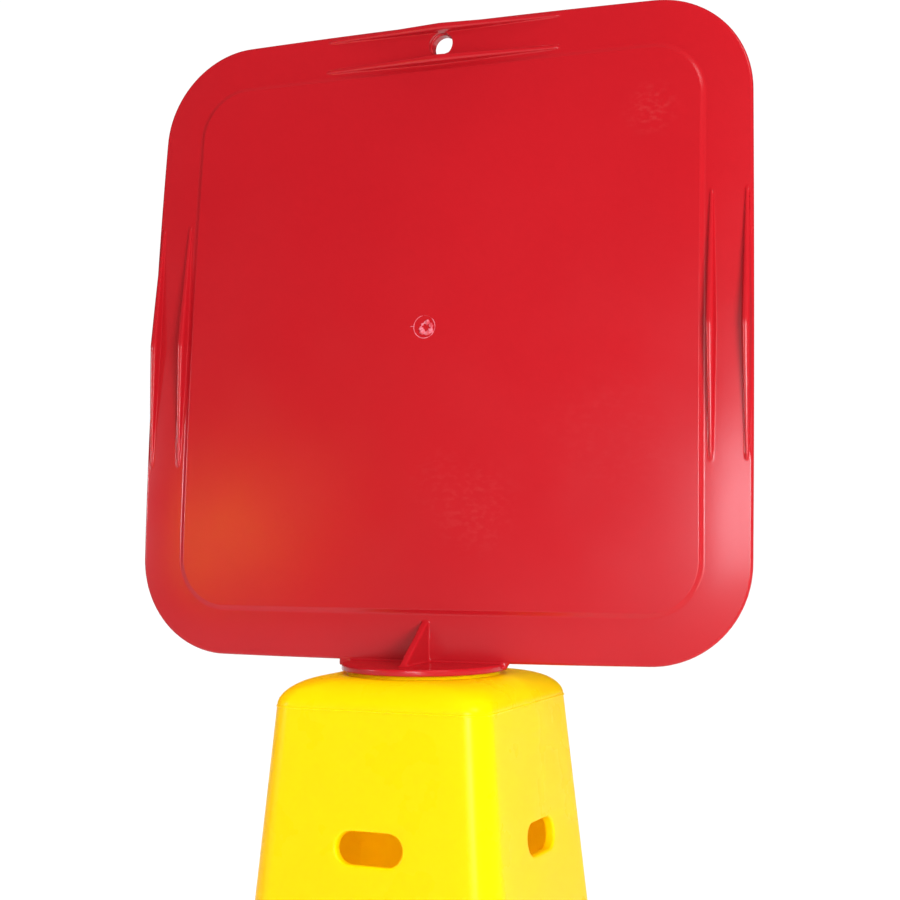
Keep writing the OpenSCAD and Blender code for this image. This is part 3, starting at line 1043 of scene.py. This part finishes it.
def slot_form(name, profile, place):
    """A solid with the slot's outline, grown by each (amount, depth) of a profile."""
    rings = []
    for grow, z in profile:
        rings.append([(x, y, z) for x, y in stadium(SLOT_LEN + 2 * grow, SLOT_H + 2 * grow)])
    return new_piece(name, *skin(rings), place)


def cut_slots(cone):
    """A rounded slot in each side, with a lip that stands into the cone."""
    end = 0.9
    lip = [(SLOT_LIP, -0.6)] + arc(SLOT_LIP - end, -SLOT_DEPTH + end, end, 0, -90, 4)
    hole = [(SLOT_ROUND, 2.0)] + arc(SLOT_ROUND, -SLOT_ROUND, SLOT_ROUND, 90, 180, 8)
    hole += arc(end, -SLOT_DEPTH + end, end, 180, 270, 4) + [(end, -SLOT_DEPTH - 4)]
    for quarter in range(4):
        place = slot_place(quarter)
        combine(cone, slot_form("lip", lip, place), "UNION")
        combine(cone, slot_form("slot", hole, place), "DIFFERENCE")


def foot_place(node):
    """The upright axis of a foot."""
    a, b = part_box(node)
    return Matrix.Translation(((a[0] + b[0]) / 2 / MM, (a[1] + b[1]) / 2 / MM, 0))


def foot_bosses(cone):
    """Tubes under the base that hold the feet's studs."""
    low, high = FOOT_TOP, BASE_H - LEDGE_T + 1
    profile = arc(BOSS_R - 0.5, low + 0.5, 0.5, -90, 0, 3) + [(BOSS_R, high), (STUD_BORE, high)]
    profile += [(STUD_BORE, low + 0.4), (STUD_BORE + 0.4, low)]
    for node in FEET:
        tube = new_piece("boss", *skin(lathe(profile, 40), closed=True), foot_place(node))
        combine(cone, tube, "UNION")


def cone_shell(material):
    """The yellow moulding: body, base, slots and foot tubes."""
    rings = cone_outside() + cone_inside()
    cone = new_piece("cone_moulding", *skin(rings, closed=True))
    cut_slots(cone)
    foot_bosses(cone)
    finish_piece(cone, material, "cone", "yellow_plastic", "cone_shell", sharp=34)


# ---------------------------------------------------------------- ballast, feet, nut and washer


def ballast_ring(material):
    """Square rubber ring with soft edges and a finger groove round its side."""
    low, high = (corner[2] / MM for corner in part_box("ballast_ring"))
    half, inner, soft, groove = BALLAST_HALF, side_half(BASE_H) + 2, 3.0, 1.6
    mid, grooved = (low + high) / 2, 9
    profile = arc(half - soft, low + soft, soft, -90, 0, 5)
    for off in (-grooved, -8, -7, -6, -3, 3, 6, 7, 8, grooved):
        profile.append((half - groove * smooth(grooved - abs(off), 0, 3), mid + off))
    profile += arc(half - soft, high - soft, soft, 0, 90, 5)
    profile += arc(inner + soft, high - soft, soft, 90, 180, 5)
    profile += arc(inner + 1, low + 1, 1, 180, 270, 3)
    corner = side_corner(BASE_H) + 1
    rings = []
    for r, z in profile:
        share = smooth(r, inner, half)
        rings.append(square_ring(r, corner + (BASE_R - corner) * share, z))
    piece = new_piece("ballast", *skin(rings, closed=True))
    finish_piece(piece, material, "ballast", "black_rubber", "ballast_ring")


def foot(node, material):
    """Rubber pad with a stud, and rings that grip the ground."""
    low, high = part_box(node)
    r, top = (high[0] - low[0]) / 2 / MM, high[2] / MM
    tip, groove, soft = 0.8, 0.6, 1.2
    profile = [(0.3, 0)]
    for start in (3, 7.4):
        profile += [(start, 0), (start + 0.6, groove), (start + 1.6, groove), (start + 2.2, 0)]
    profile += arc(r - soft, soft, soft, -90, 0, 4) + arc(r - 1.5, FOOT_TOP - 1, 1, 0, 90, 4)
    profile += [(STUD_R, FOOT_TOP), (STUD_R, top - tip), (STUD_R - tip, top), (0.3, top)]
    name = node.replace("foot", "pad")
    piece = new_piece(name, *skin(lathe(profile, 48)), foot_place(node))
    finish_piece(piece, material, "cone", "foot_rubber", node)


def lobed(radius_of, z, steps=144):
    """A ring round Z whose radius is a function of its angle."""
    turn = [2 * math.pi * i / steps for i in range(steps)]
    return [(radius_of(a) * math.cos(a), radius_of(a) * math.sin(a), z) for a in turn]


def hand_nut(material):
    """Six-lobed nut with an internal thread."""
    low, high = (corner[2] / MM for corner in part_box("lock_nut"))
    bore = THREAD_R + THREAD_GAP

    def grip(sunk):
        return lambda a: NUT_WAIST + NUT_LOBE * (0.5 + 0.5 * math.cos(NUT_LOBES * a)) ** 1.5 - sunk

    def thread(z):
        return lambda a: bore + 0.02 + 0.7 * abs(2 * ((z / THREAD_PITCH - a / (2 * math.pi)) % 1.0) - 1)

    def plain(radius):
        return lambda a: radius

    soft, rows = 1.2, 36
    rings = [lobed(grip(3.5), low + soft), lobed(grip(3.0), low)]
    rings += [lobed(grip(soft - x), z) for x, z in arc(0, low + soft, soft, -90, 0, 4)]
    rings += [lobed(grip(soft - x), z) for x, z in arc(0, high - soft, soft, 0, 90, 4)]
    rings += [lobed(plain(bore + 1.2), high), lobed(plain(bore), high - 1)]
    heights = [high - 1.2 - (high - low - 2.8) * i / rows for i in range(rows + 1)]
    rings += [lobed(thread(z), z) for z in heights]
    rings += [lobed(plain(bore), low + 1.4), lobed(plain(bore + 1), low + 1.2)]
    piece = new_piece("hand_nut", *skin(rings, closed=True))
    finish_piece(piece, material, "nut", "dark_plastic", "lock_nut")


def washer(material):
    """Flat round washer with soft edges."""
    low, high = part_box("clamp_washer")
    r, bore = (high[0] - low[0]) / 2 / MM, THREAD_R + THREAD_GAP
    foot, top, soft, fine = low[2] / MM, high[2] / MM, 0.6, 0.4
    profile = arc(r - soft, foot + soft, soft, -90, 0, 4)
    profile += arc(r - soft, top - soft, soft, 0, 90, 4)
    profile += arc(bore + fine, top - fine, fine, 90, 180, 3)
    profile += arc(bore + fine, foot + fine, fine, 180, 270, 3)
    piece = new_piece("washer_disc", *skin(lathe(profile, 96), closed=True))
    finish_piece(piece, material, "washer", "dark_plastic", "clamp_washer")


# ---------------------------------------------------------------- the scene


def main():
    make_world()
    make_lights(make_camera())
    make_floor()
    red = red_plastic()
    sign_moulding(red)
    gate_mark(whitened_plastic())
    face_sheet(reflective_sheet())
    cone_shell(yellow_plastic())
    ballast_ring(rubber("black_rubber", (0.016, 0.016, 0.017), 380, 0.72))
    foot_rubber = rubber("foot_rubber", (0.013, 0.013, 0.013), 900, 0.62)
    for node in FEET:
        foot(node, foot_rubber)
    dark = dark_plastic()
    hand_nut(dark)
    washer(dark)


main()
